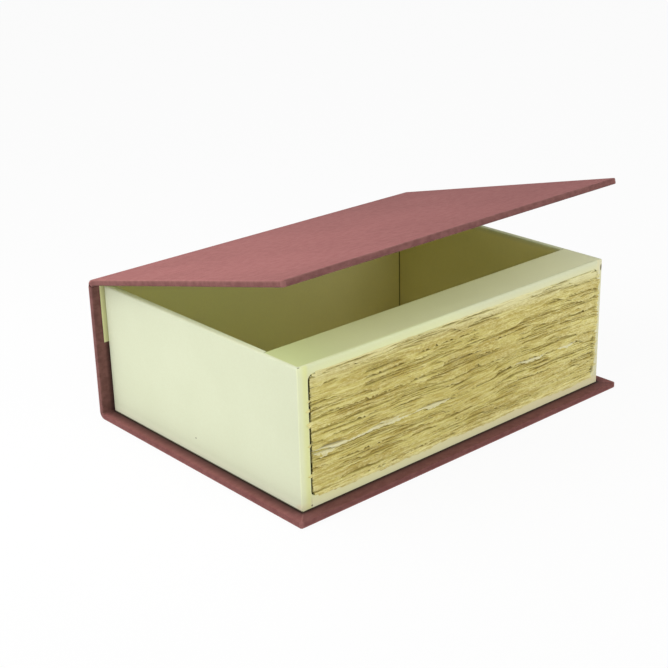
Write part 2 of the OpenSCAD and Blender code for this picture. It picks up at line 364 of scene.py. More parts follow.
def marks_and_foot_shadow(place):
    """A painted shadow line along the foot of the tray, the seam below the window, and four nicks, those at two
    corners being painted shade.
    """
    x, z = place.parts("XZ")
    x0, x1, y0 = -half_tray, half_tray, tray_low[1]
    at_end = abs(x).clamped(half_tray - 0.7, half_tray - 0.2)
    # Painted shadow along the foot of the tray.
    dark = (1 - (z - at_end * 0.5).clamped(case_thick - 0.1, case_thick + 0.35)) * 0.7
    for centre, reach, weight in (
        ((x0 + 6.2, y0, 6.0), (0.4, 3, 4.0), 0.15),
        ((x0 + 6.2, y0, 4.8), (0.7, 3, 0.6), 0.8),
        # Painted shade in the notches at two corners.
        ((x0 + 1.0, y0 + 0.7, rim_z), (1.0, 0.6, 0.5), 0.6),
        ((x1 - 1.0, y0, rim_z - 4.8), (0.8, 2.0, 2.4), 0.9),
        ((x0, 3.7, 13.3), (1.0, 0.6, 0.5), 0.9),
    ):
        dark = dark + place.mark(centre, reach) * weight
    return [(dark.at_most(0.9), (0.11, 0.08, 0.03))]


def slits(place, gap_x, gap_y):
    """Painted shade: the dark lines at the corners of the linings, gap_x from the middle and at gap_y."""
    x, y = place.parts("XY")
    away = abs(abs(x) - gap_x) + abs(y - gap_y)
    return [((1 - away.clamped(0.3, 0.6)) * 0.8, (0.10, 0.08, 0.02))]


# %% Cream paper
def make_paper(name, fade_and_shade_shift, corners=None):
    """Felted paper. The shift is added to the fade and shade tone that the piece carries. A lining has slits of
    painted shade at its corners.
    """
    material, start, place = new_finish(name, Roughness=0.8, Specular_IOR_Level=0.2)
    clouds, felt = place.noise(0.03, 3.0), place.noise(1.1, 4.0, 0.6)
    cloudy, (x,) = clouds.clamped(0.25, 0.75), place.parts("X")
    fade_and_shade_tone, ledge_light_and_shade = start.attribute("fade_and_shade_tone") + fade_and_shade_shift, start.attribute("ledge_light_and_shade")
    # Outside: faded paper. Inside: a strong yellow that is partly painted shade.
    outside = start.mixed(cloudy, (0.715, 0.755, 0.555), (0.69, 0.73, 0.53))
    inside = start.mixed(x.clamped(-90.0, 107.0), (0.80, 0.80, 0.32), (0.94, 0.865, 0.43))
    colour = start.mixed(fade_and_shade_tone, inside.tinted((cloudy * 0.5, (0.84, 0.78, 0.35))), outside).tinted(
        (felt.clamped(0.3, 0.7) * 0.10, (0.60, 0.55, 0.34)),
        *painted_foot_light(fade_and_shade_tone, place),
        *fore_edge_tones(place),
        # Painted light on the ledge above 0, and painted shade, darker and greener, below 0.
        (ledge_light_and_shade.at_least(0.0), (0.95, 0.95, 0.68)),
        ((0 - ledge_light_and_shade).at_least(0.0), (0.42, 0.52, 0.20)),
        *marks_and_foot_shadow(place),
        (start.attribute("shade"), (0.12, 0.10, 0.03)),
        *(slits(place, *corners) if corners else []),
    )
    return finished(material, colour, felt + clouds * 2.0, 0.03)


# %% [markdown]
# ## Deckled leaves
# The leaves are the colour of straw. Their torn edges are lighter and fluffy, some leaves are stained
# browner, and fine fibres run along each edge. Every leaf carries its own tone, and its level before the
# wave of the stack lifts it. The strands of colour are drawn on that level, so they follow the wave.

# %% Leaves
leaf_end = node_box("lower_leaves")[0][0]


def make_leaf_paper(name, pale, straw, brown):
    """Straw-coloured paper with pale lips and brown stains, and painted shade behind the lips and in the gap."""
    material, start, place = new_finish(name, Roughness=0.88, Specular_IOR_Level=0.2)
    tone, lip, level = [start.attribute(key) for key in ("tone", "lip", "level")]
    x, y = place.parts("XY")
    front = tray_low[1]
    fibres = place.stretched((0.35, 1.0, 1.0)).noise(1.2, 5.0, 0.72)
    stains = place.stretched((0.35, 0.5, 1.0)).noise(0.14, 3.0, 0.6)
    broad = place.stretched((0.45, 0.5, 1.0)).noise(0.05, 3.0, 0.6).clamped(0.42, 0.62)
    sheet = start.node("ShaderNodeCombineXYZ", {}, {0: x, 1: y, 2: level})
    strands = sheet.stretched((0.07, 0.3, 1.0)).noise(1.15, 4.0, 0.6)
    under_top = level.clamped(rim_z - 14.0, rim_z - 5.5) * (x.clamped(-40.0, 90.0) * 0.3 + 0.3)
    gap = (1 - x.clamped(leaf_end + 0.3, leaf_end + 1.7)) * y.clamped(front + 0.5, front + 1.5)
    colour = start.mixed((stains * 0.6 + tone * 0.4).clamped(0.40, 0.66), straw, brown).tinted(
        ((lip * 0.5 + (fibres - 0.5) * 2.0).clamped(0.1, 0.85), pale),
        (broad * 0.22, brown),
        (strands.clamped(0.50, 0.64) * 0.5, pale),
        ((1 - strands.clamped(0.36, 0.51)) * 0.7, brown),
        (under_top, (0.80, 0.78, 0.48)),
        (place.mark((5, front, 38), (60, 9, 30)) * 0.14, brown),
        # Painted shade in the recesses behind the lips.
        (y.clamped(front + 1.2, front + 3.4) * 0.7, (0.33, 0.235, 0.065)),
        # Painted shade in the gap at the tail end of the leaves.
        (gap * 0.95, (0.04, 0.03, 0.01)),
    )
    return finished(material, colour, fibres, 0.2, 0.7)


# %% [markdown]
# ## Greyboard
# The boards inside are grey pulp board. They show only at a cut end, when the case is opened flat, but
# they get their speckled pulp all the same.

# %% Greyboard
def make_greyboard():
    """Grey pulp board with faint layers."""
    material, start, place = new_finish("pulp_greyboard", Roughness=0.9, Specular_IOR_Level=0.2)
    pulp = place.noise(1.4, 5.0, 0.7)
    layers = place.stretched((0.1, 0.1, 3.0)).noise(1.0, 2.0)
    colour = start.mixed(pulp.clamped(0.3, 0.7), (0.25, 0.215, 0.175), (0.42, 0.375, 0.315))
    return finished(material, colour.tinted((layers * 0.3, (0.2, 0.18, 0.15))), pulp + layers, 0.05)


# %% Every finish
bookcloth = make_bookcloth()
cream_paper = make_paper("cream_box_paper", 0.0)
case_paper = make_paper("cream_case_paper", 0.4)
corners = node_box("head_lining")[0][0], node_box("spine_wall_lining")[0][1]
lining_paper = make_paper("cream_lining_paper", 0.0, corners)
leaf_paper = make_leaf_paper(
    "straw_leaf_paper", (0.84, 0.775, 0.365), (0.66, 0.585, 0.185), (0.47, 0.365, 0.09)
)
white_paper = make_leaf_paper(
    "white_leaf_paper", (0.86, 0.84, 0.56), (0.80, 0.76, 0.45), (0.64, 0.57, 0.26)
)
greyboard = make_greyboard()
print("finishes:", [material.name for material in bpy.data.materials])


# %% [markdown]
# ## From arrays to pieces
# Each shape below is a grid of points with two parameters. One function turns grids into a mesh: it joins
# the seams, points the faces outwards, and stores the cloth map and attributes.

# %% Grids to a finished piece
CLOTH_T, PAPER_T = 0.4, 0.3
MERGE_M, NO_SIZE_M, SHARP_DEGREES = 1e-7, 1e-8, 50
SLOT_OF = {
    "red_bookcloth": "bookcloth", "cream_box_paper": "cream_paper", "cream_case_paper": "cream_paper",
    "straw_leaf_paper": "deckle_paper", "white_leaf_paper": "white_paper",
}


def grid_faces(rows, columns, first):
    """Corner numbers of the quads of a grid whose point (i, j) has the number first + i * columns + j."""
    i, j = np.meshgrid(np.arange(rows - 1), np.arange(columns - 1), indexing="ij")
    corner = (first + i * columns + j).ravel()
    return np.stack([corner, corner + columns, corner + columns + 1, corner + 1], -1)


# %% A finished piece
def looks_inwards(mesh, facing):
    """Whether the faces look, on the whole, away from the facing, or in at the middle."""
    count = len(mesh.polygons)
    normals, centres, areas = np.empty(3 * count), np.empty(3 * count), np.empty(count)
    for name, values in (("normal", normals), ("center", centres), ("area", areas)):
        mesh.polygons.foreach_get(name, values)
    normals, centres = normals.reshape(-1, 3), centres.reshape(-1, 3)
    outwards = centres - centres.mean(0) if facing is None else np.array([facing], float)
    return (areas * (normals * outwards).sum(1)).sum() < 0


def make_piece(
    name, grids, finish, body=None, stands_for=None, thickness=0.0, facing=None, extras=None
):
    """A mesh piece from grids of points in millimetres. Thickness grows inwards from the grids.

    It stands for the CAD nodes named, or else for the node of its own name. The extras are the cloth map
    and the attributes, each a list with the values of every grid.
    """
    slot, stands_for = SLOT_OF[finish.name], stands_for or [name]
    points = np.concatenate([grid.reshape(-1, 3) for grid in grids]) / MM
    firsts = np.cumsum([0] + [grid.shape[0] * grid.shape[1] for grid in grids])
    faces = np.concatenate([grid_faces(*grid.shape[:2], first) for grid, first in zip(grids, firsts)])
    mesh = bpy.data.meshes.new(name)
    mesh.from_pydata(points, [], faces)
    for key, values in (extras or {}).items():
        values = np.concatenate([np.reshape(value, (-1, *value.shape[2:])) for value in values])
        if key == "cloth":
            layer = mesh.uv_layers.new(name="cloth")
            layer.uv.foreach_set("vector", values[faces.ravel()].ravel())
        else:
            mesh.attributes.new(key, "FLOAT", "POINT").data.foreach_set("value", values.ravel())
    work = bmesh.new()
    work.from_mesh(mesh)
    bmesh.ops.remove_doubles(work, verts=work.verts, dist=MERGE_M)
    bmesh.ops.dissolve_degenerate(work, edges=work.edges, dist=NO_SIZE_M)
    bmesh.ops.recalc_face_normals(work, faces=work.faces)
    work.to_mesh(mesh)
    if looks_inwards(mesh, facing):
        bmesh.ops.reverse_faces(work, faces=work.faces)
    if thickness:
        bmesh.ops.solidify(work, geom=work.faces[:], thickness=thickness / MM)
    work.to_mesh(mesh)
    work.free()
    mesh.polygons.foreach_set("use_smooth", np.ones(len(mesh.polygons), bool))
    mesh.set_sharp_from_angle(angle=np.radians(SHARP_DEGREES))
    mesh.materials.append(finish)
    piece = put(name, mesh)
    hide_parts(*stands_for)
    if body:
        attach(piece, body)
    print(f"{name}: {len(mesh.polygons)} faces")
    return piece


# %% [markdown]
# ## Chance that repeats
# Paper and cloth are never quite even. These curves and fields wander smoothly between random values, and
# each has a seed, so the box comes out the same on every run.

# %% Smooth random curves and fields
CURVE_KNOTS, FIELD_KNOTS = 1024, 128


def eased(share):
    """A share from 0 to 1 that starts and stops gently: three of its squares less two of its cubes."""
    return share * share * (3 - 2 * share)


def hill(x, centre, width, power=2):
    """A hill of height 1: e to the minus of (distance from the centre over width) raised to the power."""
    return np.exp(-((np.abs(x - centre) / width) ** power))


def rise(x, start, width):
    """0 up to the start, then a straight rise over the width to 1."""
    return np.clip((x - start) / width, 0, 1)


def wander(x, length, seed):
    """A smooth random curve from -1 to 1: random knots this length apart, eased from one to the next."""
    knots = np.random.default_rng(seed).uniform(-1, 1, CURVE_KNOTS)
    place = np.asarray(x, float) / length + 300.0
    knot = np.floor(place).astype(int)
    share = eased(place - knot)
    return knots[knot % CURVE_KNOTS] * (1 - share) + knots[(knot + 1) % CURVE_KNOTS] * share


def field(x, y, length, width, seed):
    """A smooth random field from -1 to 1: random knots on a grid, eased from one to the next."""
    knots = np.random.default_rng(seed).uniform(-1, 1, (FIELD_KNOTS, FIELD_KNOTS))
    px, py = np.broadcast_arrays(np.asarray(x, float) / length + 60.0, np.asarray(y, float) / width + 60.0)
    i, j = np.floor(px).astype(int), np.floor(py).astype(int)
    u, v = eased(px - i), eased(py - j)
    i0, i1, j0, j1 = [knot % FIELD_KNOTS for knot in (i, i + 1, j, j + 1)]
    low = knots[i0, j0] * (1 - u) + knots[i1, j0] * u
    high = knots[i0, j1] * (1 - u) + knots[i1, j1] * u
    return low * (1 - v) + high * v


# %% Paths
def arc_lengths(points):
    """Distance along a row of points, from the first."""
    steps = np.linalg.norm(np.diff(points, axis=0), axis=1)
    return np.concatenate([[0.0], np.cumsum(steps)])


def rounded_path(corners, radius, steps=6, spacing=4.0):
    """A path through corners in a plane, each rounded by an arc that is tangent to both of its sides."""
    corners = np.asarray(corners, float)
    radii = np.broadcast_to(radius, len(corners) - 2)
    pieces, last = [corners[:1]], corners[0]
    for before, corner, after, r in zip(corners[:-2], corners[1:-1], corners[2:], radii):
        to, on = corner - before, after - corner
        to, on = to / np.linalg.norm(to), on / np.linalg.norm(on)
        turn = np.arccos(np.clip(to @ on, -1, 1))
        reach = r * np.tan(turn / 2)
        side = (on - (on @ to) * to) / np.sin(turn)
        angle = turn * np.linspace(0, 1, steps + 1)[:, None]
        arc = corner - reach * to + r * (np.sin(angle) * to + (1 - np.cos(angle)) * side)
        pieces += [straight(last, arc[0], spacing), arc]
        last = arc[-1]
    pieces.append(straight(last, corners[-1], spacing))
    path = np.concatenate(pieces)
    keep = np.concatenate([[True], np.linalg.norm(np.diff(path, axis=0), axis=1) > 1e-6])
    return path[keep]


def straight(start, end, spacing):
    """Points from start to end, no further apart than the spacing."""
    count = max(int(np.ceil(np.linalg.norm(end - start) / spacing)), 1)
    return start + (end - start) * np.linspace(0, 1, count + 1)[:, None]


# %% [markdown]
# ## The cloth case
# The case is one sheet of cloth in real life: over the base board, round a joint, up the spine, round a
# second joint and over the lid, with its edges turned in. Here it is five pieces that meet edge to edge.
# All five share one section: from the turned-in edge, round the board's end, over the outer face, and back
# at the other end. A place on it is an inset from the case's outline and a depth below its outer face.

# %% The section that the cloth pieces share
EDGE_R, INNER_R, PLAN_R, TURN_IN = 0.7, 0.6, 1.4, 15.0

edge = rounded_path(
    [[PLAN_R, 0], [0, 0], [0, case_thick], [TURN_IN, case_thick]], [EDGE_R, INNER_R], 6, 0.9
)
edge_run = arc_lengths(edge)
ridge_wear = hill(edge_run, edge_run[np.argmin(abs(edge - [0.3, 0.3]).sum(1))], 0.6)
flat_x = np.linspace(-half_case + PLAN_R, half_case - PLAN_R, 61)
flat_x[1], flat_x[-2] = flat_x[0] + 0.9, flat_x[-1] - 0.9
print("edge profile:", len(edge), "points")


def folded(wall, start=1.6):
    """How much painted shade each point of the edge profile gets: wall on the board's end, 1 on the turned-in
    cloth.
    """
    return np.maximum(wall * rise(edge_run, start, 0.4), rise(edge[:, 1], 2.6, 0.5))


# %% [markdown]
# The turned-in cloth is darkest right at the foot of the tray, where no light gets in. From there the
# darkness fades, further beside the tray than before it.

# %% Darkness at the foot, and the section
LINE_DARK, LINE_WIDTH, BESIDE_WIDTH, BEFORE_WIDTH = 0.97, 1.7, 5.54, 3.0


def contact(x, y, depth, softness=0.72):
    """Darkness at the foot of the tray: a line round it, and a soft edge beside and before it."""
    beside, before = np.maximum(np.abs(x) - half_tray, 0), np.maximum(tray_low[1] - y, 0)
    line = LINE_DARK * hill(np.maximum(beside, before), 0, LINE_WIDTH, 4)
    soft = softness * hill(beside, 0, BESIDE_WIDTH, 2.56) * hill(before, 0, BEFORE_WIDTH)
    return np.maximum(line, soft) * (depth > case_thick - 0.05)


def case_section(painted_fold_shade, points):
    """Across the case from tail to head: x, depth, run along the cloth, wear and painted shade."""
    def across(values, middle, tail=1):
        """Values along the edge at the tail, over the outer face, and along the edge at the head."""
        return np.concatenate([tail * values[:points][::-1], middle, values[:points]])

    flat, none = flat_x[1:-1], np.zeros(len(flat_x) - 2)
    x, run = across(half_case - edge[:, 0], flat, -1), across(flat_x[-1] + edge_run, flat, -1)
    return x, across(edge[:, 1], none), run, across(ridge_wear, none), across(painted_fold_shade, none)


# %% The sweep along the case
def swept_case(outer, inner, runs, painted_fold_shade, points=len(edge), fold=0.0):
    """The section carried along the case: outer and inner are the (y, z) of its two faces at each step.

    A fold draws the two ends of the section in by its depth, all the more the deeper they lie, and
    paints shade into the crease.
    """
    x, depth, run, wear, fold_shade = case_section(painted_fold_shade, points)
    share = (depth / case_thick)[None, :, None]
    yz = outer[:, None] * (1 - share) + inner[:, None] * share
    drawn = rise(depth, 0, 0.8) * np.reshape(fold, (-1, 1)) * np.sign(x)
    grid = stacked(x - drawn, yz[..., 0], yz[..., 1])
    # Painted shade in the crease of the fold.
    crease = np.clip(np.abs(drawn) / 0.9, 0, 0.8)
    foot = contact(x, 0.0, depth, 0.0) * 0.6 * (np.max(fold) == 0)
    shape = grid.shape[:2]
    return grid, {
        "cloth": [stacked(run, np.asarray(runs)[:, None])],
        "worn": [np.broadcast_to(wear * (1 - crease), shape)],
        "painted_fold_shade": [np.broadcast_to(fold_shade, shape)],
        "shade": [np.broadcast_to(np.maximum(foot, crease), shape)],
    }


# %% [markdown]
# The covers also turn in along the fore-edge. Rings of points run down the tail side, round the two fore
# corners and up the head side. Near the outline a ring turns each corner on a small arc. Further in, the
# turned-in cloth meets in a mitre, as a binder folds it.

# %% The grids of a cover
corner_fan = np.linspace(0, np.pi / 2, 9)


def mirrored(part):
    """The columns of a plan at the other end of the box, in the order in which a ring goes on to them."""
    return (part * [-1, 1])[:, ::-1]


def raised(plan, heights):
    """A plan of (x, y) places with a third number, which is one for each row."""
    return stacked(plan[..., 0], plan[..., 1], heights[:, None])


def cover_grids(front, end):
    """Outer face and folded edges of a cover from its fore-edge to its joint, as (x, y, depth)."""
    rows_y = np.linspace(front + PLAN_R, end, 45)
    rows_y[1] = rows_y[0] + 0.9
    face = stacked(flat_x[:, None], rows_y, 0.0)
    inner = np.maximum(edge[:, :1], PLAN_R)
    round_off = np.maximum(PLAN_R - edge[:, :1], 0)
    share = ((end - rows_y) / (end - rows_y[0]))[::-1]
    tail = stacked(-half_case + inner - round_off, end - (end - (front + inner)) * share)
    fore = stacked(flat_x / flat_x[-1] * (half_case - inner), front + inner - round_off)
    near = stacked(
        -half_case + inner - round_off * np.cos(corner_fan), front + inner - round_off * np.sin(corner_fan)
    )[:, 1:-1]
    parts = [tail, near, fore, mirrored(near), mirrored(tail)]
    return face, raised(np.concatenate(parts, 1), edge[:, 1]), [part.shape[1] for part in parts]


# %% [markdown]
# Each column of the ring has a way outwards, along which its cloth unrolls. The cloth map, the wear and the
# painted shade follow from it. On the base, the strip beside the tray that the light reaches gets less painted
# shade.

# %% The two covers
WAYS_OUT = [[-1, 0], [-0.7, -0.7], [0, -1], [0.7, -0.7], [1, 0]]
CORNER_WEAR, BARE_START, BARE_WIDTH = 0.8, 1.5, 4.0
SIDE_SHADE, FORE_SHADE, FOOT_SHADE, FOOT_REACH = 0.33, 0.26, 0.78, 2.1


def cover_extras(face, band, counts, end, walls, lies_under):
    """Cloth map, wear and painted shade of a cover. The map unrolls the cloth from the outer face."""
    outward = np.repeat(WAYS_OUT, counts, 0)
    at_side, at_fore = np.abs(outward.T) > 0.9
    flat = band[0, :, :2] + edge_run[:, None, None] * outward
    back_from_end = end - np.where(at_side, band[..., 1], flat[..., 1])
    cloth = [stacked(face[..., 0], end - face[..., 1]), stacked(flat[..., 0], back_from_end)]
    wear = np.repeat(ridge_wear[:, None], band.shape[1], 1)
    if not lies_under:
        wear *= np.where(at_fore, 0.1, 0.7)
    for first in np.cumsum(counts)[[0, 2]] - 1:
        wear[edge[:, 1] > 0.5, first:first + counts[1] + 2] = CORNER_WEAR
    side, fore = [folded(*wall)[:, None] for wall in walls]
    fold_shade = np.where(at_fore, fore, side)
    # Less painted shade on the base where the light reaches beside the tray, and painted shade on the squares
    # below.
    bared = rise(np.abs(band[..., 0]), half_tray + BARE_START, BARE_WIDTH)
    bared = bared * (band[..., 2] > case_thick - 0.3)
    fold_shade = fold_shade * (1 - 0.5 * bared * lies_under * ~at_fore)
    before = np.maximum(tray_low[1] - band[..., 1], 0)
    fore_shade = FORE_SHADE + FOOT_SHADE * np.exp(-before / FOOT_REACH)
    dimmed = fold_shade * np.where(at_fore, fore_shade, SIDE_SHADE)
    shade = np.maximum(contact(*np.moveaxis(band, -1, 0)), dimmed) * lies_under
    fold_shade = fold_shade * (1 - 0.65 * lies_under)
    none = np.zeros(face.shape[:2])
    return {"cloth": cloth, "worn": [none, wear], "painted_fold_shade": [none, fold_shade], "shade": [none, shade]}


def as_lid(grid):
    """A cover turned over, with its outer face on top, at the angle at which the lid stands."""
    return turned(grid * [1, 1, -1] + [0, 0, lid_high[2]], lid_angle)


def cover(name, front, body, walls, lies_under):
    """A cover's cloth. The base's outer face lies on the table, and the lid's is on top."""
    face, band, counts = cover_grids(front, joint_y)
    extras = cover_extras(face, band, counts, joint_y, walls, lies_under)
    grids = [grid if lies_under else as_lid(grid) for grid in (face, band)]
    make_piece(name, grids, bookcloth, body, thickness=CLOTH_T, extras=extras)


# The walls say how much painted shade the board's ends take at the sides and at the fore-edge.
cover("base_cloth", base_low[1], "root", ((0.55, 1.6), (0.95, 1.6)), 1.0)
cover("lid_cloth", lid_low[1], "lid", ((0.65, 1.0), (0.8, 0.4)), 0.0)


# %% [markdown]
# The spine and the two joints carry the same section up and round. Both joints keep the board's thickness
# at their ends, like the little folded caps of cloth at the head and tail of a real spine. The joints are
# attached to no body.

# %% Spine and lower joint
def case_piece(name, body, *section):
    """A piece of the case's cloth with the shared section."""
    grid, extras = swept_case(*section)
    return make_piece(name, [grid], bookcloth, body, thickness=CLOTH_T, extras=extras)


spine_z = np.linspace(spine_low[2], spine_high[2], 22)
spine_outer, spine_inner = stacked(spine_high[1], spine_z), stacked(spine_low[1], spine_z)
case_piece("spine_cloth", "spine", spine_outer, spine_inner, spine_z, folded(0.85))

joint_steps = np.linspace(0, 1, 29)
quarter = joint_steps * np.pi / 2
ring = stacked(np.sin(quarter), -np.cos(quarter))
middle = np.array([joint_y, spine_low[2]])
joint_r = spine_high[1] - joint_y
low_inner = middle + (joint_r - case_thick) * ring
lower_joint = case_piece(
    "lower_joint_cloth", None, middle + joint_r * ring, low_inner, -joint_r * quarter[::-1], folded(0.7)
)
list(low_inner[0] / MM)
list(low_inner[-1] / MM)
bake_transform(lower_joint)


# %% Upper joint
TUCKED, FOLD_DEPTH, FOLD_AT, FOLD_WIDTH = 6.0, 0.9, 0.15, 0.11


def lid_place(y, z):
    """The (y, z) of a point of the closed lid where the lid now stands."""
    return turned([0.0, y, z], lid_angle)[1:]


def bent(start, end, start_way, end_way, share):
    """A cubic curve from start to end along the given ways, with handles that fit an arc of a circle."""
    turn = np.arccos(np.clip(start_way @ end_way, -1, 1))
    reach = 4 / 3 * np.tan(turn / 4) * np.linalg.norm(end - start) / (2 * np.sin(turn / 2))
    t = share[:, None]
    a, b = start + reach * start_way, end - reach * end_way
    return (1 - t) ** 3 * start + 3 * (1 - t) ** 2 * t * a + 3 * (1 - t) * t**2 * b + t**3 * end


upwards = np.array([0.0, 1.0])
to_lid = np.array([-np.cos(lid_angle), np.sin(lid_angle)])
top_start = np.array([spine_high[1], spine_high[2]])
top_end = lid_place(joint_y, lid_high[2])
mouth_start = np.array([spine_low[1], spine_high[2]])
mouth_end = lid_place(joint_y, lid_low[2])
outer = bent(top_start, top_end, upwards, to_lid, joint_steps)
inner = mouth_start + (mouth_end - mouth_start) * joint_steps[:, None]
tucked = int(np.sum(edge_run <= edge_run[np.argmax(edge[:, 1] > case_thick - 1e-6)] + TUCKED))
fold = FOLD_DEPTH * hill(joint_steps, FOLD_AT, FOLD_WIDTH)
outer_run = spine_high[2] + arc_lengths(outer)
upper_joint = case_piece("upper_joint_cloth", None, outer, inner, outer_run, folded(0.55), tucked, fold)
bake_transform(upper_joint)


# %% [markdown]
# ## Paper on the inside of the case
# A cream strip lines the joint and shows beside the tray. It goes up the spine's board, over its end, under
# the cloth of the joint, and down onto the lid, where the lining takes over. Each is a sheet swept along X.

# %% Swept sheets of paper
STRIP_T, BEND_R, UNDER_CLOTH = 0.36, 0.5, 0.42


def sheet_grid(path, half_width, steps=61):
    """A (y, z) path carried along X from -half_width to half_width, with more columns near the ends."""
    width = np.broadcast_to(half_width, len(path))
    x = np.sin(np.linspace(-np.pi / 2, np.pi / 2, steps)) * width[:, None]
    return stacked(x, path[:, :1], path[:, 1:])


strip_low, strip_high = node_box("hinge_strip")
over_end = strip_high[2] + STRIP_T
strip_path = rounded_path(
    [[strip_low[1], strip_low[2]], [strip_low[1], over_end], [spine_high[1] - 0.7, over_end]],
    BEND_R, 5, 3.0,
)
strip = sheet_grid(strip_path, strip_high[0])
beside = np.abs(strip[..., 0]) - half_tray
print("the strip shows beside the tray for", beside.max())
make_piece(
    "hinge_strip", [strip], case_paper, "spine", thickness=STRIP_T, facing=(0, -1, 0.2),
    extras={"shade": [0.25 * hill(beside, 0, 1.9, 4)]},
)

below_lid = np.array([to_lid[1], -to_lid[0]])
under_cloth = bent(
    top_start - [UNDER_CLOTH, 0], top_end - UNDER_CLOTH * below_lid, upwards, to_lid, joint_steps
)
joint_paper = make_piece(
    "inner_joint_paper", [sheet_grid(under_cloth[2:-2], strip_high[0])], case_paper,
    thickness=STRIP_T, facing=(0, 1, 1),
)
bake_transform(joint_paper)

lining_low, lining_high = node_box("lid_lining", lid_angle)
lining_end = joint_y + STRIP_T
lid_path = rounded_path(
    [[lining_low[1], lining_low[2]], [lining_end, lining_low[2]], [lining_end, lid_high[2] - 0.9]],
    BEND_R, 5, 3.0,
)
closed = sheet_grid(lid_path, lining_high[0])
make_piece(
    "lid_lining", [turned(closed, lid_angle)], case_paper, "lid", thickness=STRIP_T, facing=(0, 0.2, -1)
)


# %% [markdown]
# ## The tray's covering
# One strip of paper goes round the tail, the spine and the head, over the tops of the walls and down
# inside. It is swept round the tray with its corners rounded, and its rim is soft where the paper turns
# over the board.

# %% Paper round the tray
frame_high = node_box("frame_paper")[1]
CORNER_R = half_tray - frame_high[0]
RIM_R, SEAM, FOLD_R = 1.1, 1.0, 0.6
lining_low, lining_high = node_box("head_lining")
wall, ledge_back, turn_z = half_tray - lining_low[0], lining_low[1], lining_high[2]
foot_z, front_y, back_y = tray_low[2], tray_low[1], tray_high[1]

outside = rounded_path([[0.7, foot_z], [0, foot_z], [0, rim_z], [CORNER_R, rim_z]], [0.4, RIM_R], 6, 5.0)
inside = rounded_path([[CORNER_R, rim_z], [wall, rim_z], [wall, turn_z]], 0.8, 6, 3.0)
print("tray corner", CORNER_R, "wall", wall, "paper turned down to", turn_z)


# %% Rings of the tray's paper
def tray_ring(inset, z):
    """Rings round the tray at each inset: fore corner, tail, spine, head, corner. Corners turn on arcs."""
    inset = inset[:, None]
    reach = np.maximum(inset, FOLD_R)
    r, cx, low_y, high_y = reach - inset, half_tray - reach, front_y + reach, back_y - reach
    s, c = r * np.sin(corner_fan), r * np.cos(corner_fan)
    half = [
        stacked(SEAM - frame_high[0], front_y + inset),
        stacked(-cx - s, low_y - c)[:, :-1],
        stacked(-cx - r, low_y + (high_y - low_y) * np.linspace(0, 1, 43)),
        stacked(-cx - c, high_y + s)[:, 1:-1],
    ]
    spine = stacked(cx * np.linspace(-1, 1, 53), high_y + r)
    return raised(np.concatenate(half + [spine] + [mirrored(part) for part in half[::-1]], 1), z)


def turned_down(inset, z):
    """Rings inside the walls, from the ledge along the tail, the spine and the head, with sharp corners."""
    x, y = half_tray - inset[:, None], back_y - inset[:, None]
    share = np.linspace(0, 1, 35)
    tail = stacked(-x, ledge_back + (y - ledge_back) * share)
    spine = stacked(-x + 2 * x * share, y)
    return raised(np.concatenate([tail, spine[:, 1:-1], mirrored(tail)], 1), z)


def on_rim(grid):
    """1 on the rim and the ledge, and 0 from a little below them."""
    return rise(grid[..., 2], rim_z - 1.3, 1.0)


outer_ring, inner_ring = tray_ring(*outside.T), turned_down(*inside.T)
make_piece(
    "tray_wrap", [outer_ring, inner_ring], cream_paper, "root", thickness=PAPER_T,
    extras={"fade_and_shade_tone": [np.ones(outer_ring.shape[:2]), on_rim(inner_ring)]},
)


# %% [markdown]
# ## The window
# The fore-edge is a board with a window, papered over, with the paper turned into the opening. The surface
# runs from the board's outline to the window's outline, round the window's edge and a little way in.

# %% The window and the outlines
front_points = node_points("frame_paper")
off_edge = (front_points[:, 2] > foot_z + 0.5) & (front_points[:, 2] < rim_z - 0.5)
window_low, window_high = front_points[off_edge].min(0)[[0, 2]], front_points[off_edge].max(0)[[0, 2]]
(window_x0, window_z0), (window_x1, window_z1) = window_low, window_high
WINDOW_R, FOOT_R = 3.0, 0.5
print("window", window_x0, window_x1, window_z0, window_z1)


def outline(low, high, radius, samples):
    """Points round a rectangle with rounded corners: each side, then the corner that it comes to."""
    fan = np.linspace(0, np.pi / 2, samples[2] + 1)[1:-1, None]
    (x0, z0), (x1, z1) = np.add(low, radius), np.subtract(high, radius)
    centres = np.array([[x1, z0], [x1, z1], [x0, z1], [x0, z0]])
    out, parts = np.array([0.0, -1.0]), []
    for number, centre in enumerate(centres):
        on = np.array([-out[1], out[0]])
        ends = centres[number - 1] + radius * out, centre + radius * out
        parts += [np.linspace(*ends, samples[number % 2])]
        parts += [centre + radius * (np.cos(fan) * out + np.sin(fan) * on)]
        out = on
    return np.concatenate([*parts, parts[0][:1]])


# %% Paper on the windowed board
samples = (81, 25, 8)
edge_x = frame_high[0] - SEAM
board = outline([-edge_x, foot_z + FOOT_R], [edge_x, rim_z - RIM_R], 0.0, samples)
opening = outline(window_low, window_high, WINDOW_R, samples)
reveal = rounded_path([[-3.0, 0], [0.15, 0], [0.15, 2.6]], 0.6, 6, 0.9)
reveal = reveal[reveal[:, 0] > -0.8]
along = np.roll(opening[:-1], -1, 0) - np.roll(opening[:-1], 1, 0)
inward = stacked(-along[:, 1], along[:, 0]) / np.linalg.norm(along, axis=1)[:, None]
inward = np.concatenate([inward, inward[:1]])
edge_ring = opening + reveal[:, None, :1] * inward
share = np.linspace(0, 1, 5)[:-1, None, None]
plan = np.concatenate([board * (1 - share) + edge_ring[:1] * share, edge_ring])
depth = np.concatenate([np.zeros(len(share)), reveal[:, 1]])
front = stacked(plan[..., 0], front_y + depth[:, None], plan[..., 1])

